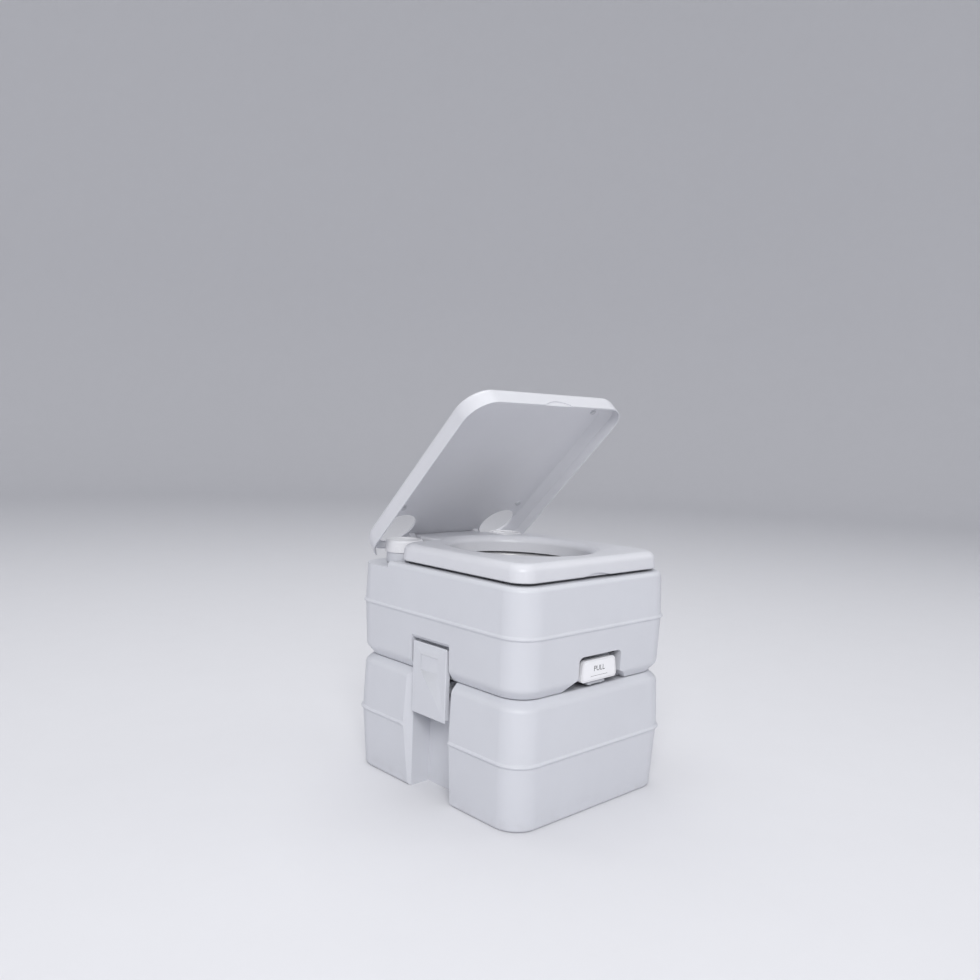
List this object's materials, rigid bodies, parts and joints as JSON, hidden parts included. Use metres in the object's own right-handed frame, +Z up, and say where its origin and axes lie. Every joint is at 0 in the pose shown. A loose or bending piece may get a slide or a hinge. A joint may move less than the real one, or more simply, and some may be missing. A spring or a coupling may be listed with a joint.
{
  "type": "portable camp toilet",
  "caption": "Two-tank portable camp toilet with hinged lid and seat, bowl, pull-out slide valve, hand pump, side latches and rear drain cap.",
  "frame": {"origin": "centre of the base on the ground, midway between the tank's sides and between its front and back", "axes": "+Z up; -Y out of the front face, where the valve handle is; +X towards the filler cap's side"},
  "size_m": [0.363, 0.419, 0.6548],
  "materials": {
    "tank_plastic": "satin moulded polyethylene",
    "seat_plastic": "satin moulded polypropylene",
    "latch_plastic": "satin moulded polypropylene",
    "bowl_plastic": "smooth glossy moulded plastic",
    "white_plastic": "smooth semi-gloss moulded plastic",
    "inner_plastic": "plain moulded plastic",
    "label": "printed plastic film",
    "black_rubber": "soft moulded seal rubber",
    "grey_rubber": "soft moulded bumper rubber",
    "pale_rubber": "soft moulded pale silicone",
    "pin_steel": "plain stainless steel",
    "screw_steel": "plain stainless steel",
    "vent_plastic": "smooth semi-gloss moulded plastic"
  },
  "bodies": {
    "tanks": {"waste_tank": "tank_plastic", "fresh_tank": "tank_plastic", "bowl": "bowl_plastic", "outlet_seal": "black_rubber", "valve_frame": "inner_plastic", "valve_screws": "screw_steel", "hinge_posts": "tank_plastic", "hinge_pins": "pin_steel", "post_screws": "screw_steel", "pump_cylinder": "inner_plastic", "pump_collar": "tank_plastic", "pump_spring": "pin_steel", "intake_valve": "black_rubber", "flush_pipe": "inner_plastic", "flush_nozzle": "white_plastic", "filler_neck": "tank_plastic", "latch_pins": "pin_steel", "latch_strikes": "inner_plastic", "strike_screws": "screw_steel", "drain_neck": "inner_plastic", "vent_housing": "inner_plastic", "vent_spring": "pin_steel"},
    "valve": {"valve_blade": "inner_plastic", "valve_handle": "white_plastic", "valve_label": "label", "handle_screws": "screw_steel"},
    "lid": {"lid": "seat_plastic", "lid_bumpers": "pale_rubber"},
    "seat": {"seat": "seat_plastic", "seat_bumpers": "grey_rubber"},
    "pump": {"pump_knob": "white_plastic", "pump_piston": "inner_plastic", "piston_seal": "black_rubber"},
    "filler": {"filler_cap": "white_plastic", "filler_seal": "black_rubber"},
    "latch_l": {"latch_left": "latch_plastic"},
    "latch_r": {"latch_right": "latch_plastic"},
    "drain": {"drain_cap": "white_plastic", "drain_seal": "black_rubber"},
    "vent": {"vent_button": "vent_plastic", "vent_seal": "black_rubber"}
  },
  "joints": [
    {"name": "lid_hinge", "type": "hinge", "parent": "tanks", "child": "lid", "pos_m": [0, 0.175, 0.38], "axis": [-1, 0, 0], "range_deg": [-44.5, 57.5]},
    {"name": "seat_hinge", "type": "hinge", "parent": "tanks", "child": "seat", "pos_m": [0, 0.175, 0.38], "axis": [-1, 0, 0], "range_deg": [0, 44]},
    {"name": "valve_slide", "type": "slide", "parent": "tanks", "child": "valve", "axis": [0, -1, 0], "range_m": [0, 0.105]},
    {"name": "pump_slide", "type": "slide", "parent": "tanks", "child": "pump", "axis": [0, 0, -1], "range_m": [0, 0.014], "stiffness_N_per_m": 900, "springref_m": -0.006, "deforming": ["pump_spring"]},
    {"name": "filler_turn", "type": "hinge", "parent": "tanks", "child": "filler", "pos_m": [0.121, 0.148, 0.39], "axis": [0, 0, 1], "range_deg": [0, 120]},
    {"name": "latch_l_hinge", "type": "hinge", "parent": "tanks", "child": "latch_l", "pos_m": [-0.1705, 0, 0.239], "axis": [0, 1, 0], "range_deg": [0, 70]},
    {"name": "latch_r_hinge", "type": "hinge", "parent": "tanks", "child": "latch_r", "pos_m": [0.1705, 0, 0.239], "axis": [0, -1, 0], "range_deg": [0, 70]},
    {"name": "drain_turn", "type": "hinge", "parent": "tanks", "child": "drain", "pos_m": [0.088, 0.2, 0.132], "axis": [0, 1, 0], "range_deg": [0, 120]},
    {"name": "vent_slide", "type": "slide", "parent": "tanks", "child": "vent", "axis": [0, -1, 0], "range_m": [0, 0.003], "stiffness_N_per_m": 400, "springref_m": -0.002}
  ]
}
